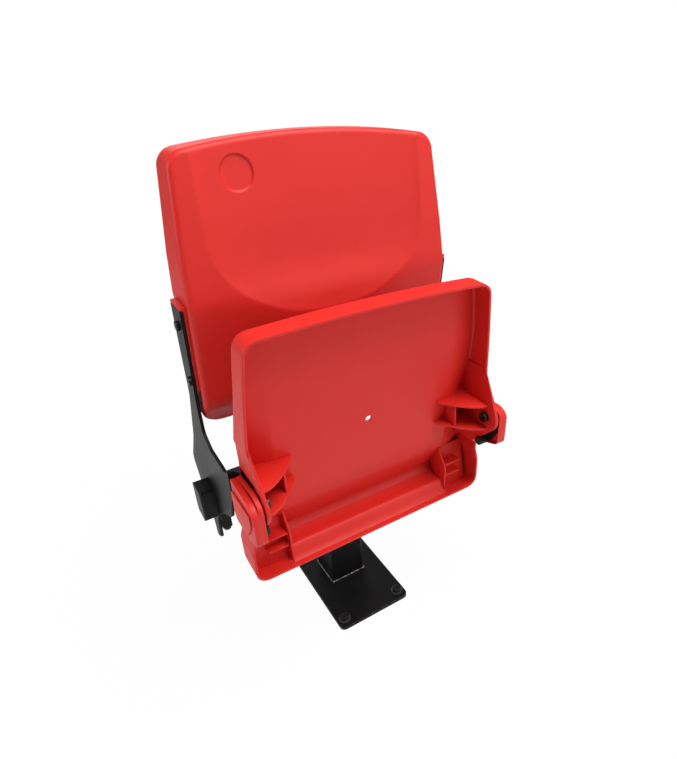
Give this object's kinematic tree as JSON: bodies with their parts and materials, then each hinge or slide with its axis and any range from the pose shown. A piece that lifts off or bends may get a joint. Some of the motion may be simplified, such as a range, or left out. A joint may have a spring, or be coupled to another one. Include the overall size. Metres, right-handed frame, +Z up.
{
  "type": "stadium seat",
  "caption": "Tip-up stadium seat: moulded pan and backrest between steel side brackets on a cross beam and one floor post.",
  "frame": {"origin": "middle of the base plate's underside, on the floor", "axes": "+Z up, +X to the right as seen from in front of the seat, -Y the way the sitter faces"},
  "size_m": [0.502, 0.389, 0.869],
  "materials": {
    "stand_steel": "black powder coat, satin",
    "seat_plastic": "fine moulded grain, satin red",
    "cap_plastic": "matt black",
    "black_screw": "black oxide",
    "zinc_steel": "zinc plated",
    "bush_nylon": "natural nylon",
    "bumper_rubber": "matt black rubber"
  },
  "bodies": {
    "stand": {"base_plate": "stand_steel", "anchor_washer_1": "zinc_steel", "anchor_washer_2": "zinc_steel", "anchor_washer_3": "zinc_steel", "anchor_washer_4": "zinc_steel", "anchor_bolt_1": "black_screw", "anchor_bolt_2": "black_screw", "anchor_bolt_3": "black_screw", "anchor_bolt_4": "black_screw", "post_tube": "stand_steel", "cross_beam": "stand_steel", "beam_cap_left": "cap_plastic", "beam_cap_right": "cap_plastic", "beam_saddle_left": "stand_steel", "beam_saddle_right": "stand_steel", "saddle_screw_left": "zinc_steel", "saddle_screw_right": "zinc_steel", "bracket_left": "stand_steel", "bracket_right": "stand_steel", "pivot_bolt_left": "black_screw", "pivot_bolt_right": "black_screw", "pivot_nut_left": "zinc_steel", "pivot_nut_right": "zinc_steel", "return_spring_left": "zinc_steel", "return_spring_right": "zinc_steel", "hinge_cover_left": "seat_plastic", "hinge_cover_right": "seat_plastic", "stow_bumper_left": "bumper_rubber", "stow_bumper_right": "bumper_rubber", "backrest": "seat_plastic", "back_screw_left_upper": "black_screw", "back_screw_left_lower": "black_screw", "back_screw_right_upper": "black_screw", "back_screw_right_lower": "black_screw", "back_nut_left_upper": "zinc_steel", "back_nut_left_lower": "zinc_steel", "back_nut_right_upper": "zinc_steel", "back_nut_right_lower": "zinc_steel"},
    "tip": {"seat_pan": "seat_plastic", "pivot_bush_left": "bush_nylon", "pivot_bush_right": "bush_nylon", "stop_pin_left": "zinc_steel", "stop_pin_right": "zinc_steel"}
  },
  "joints": [
    {"name": "seat_tip", "type": "hinge", "parent": "stand", "child": "tip", "pos_m": [0, -0.212, 0.417], "axis": [1, 0, 0], "range_deg": [0, 80], "stiffness_Nm_per_rad": 0.6, "springref_deg": -28.65}
  ]
}
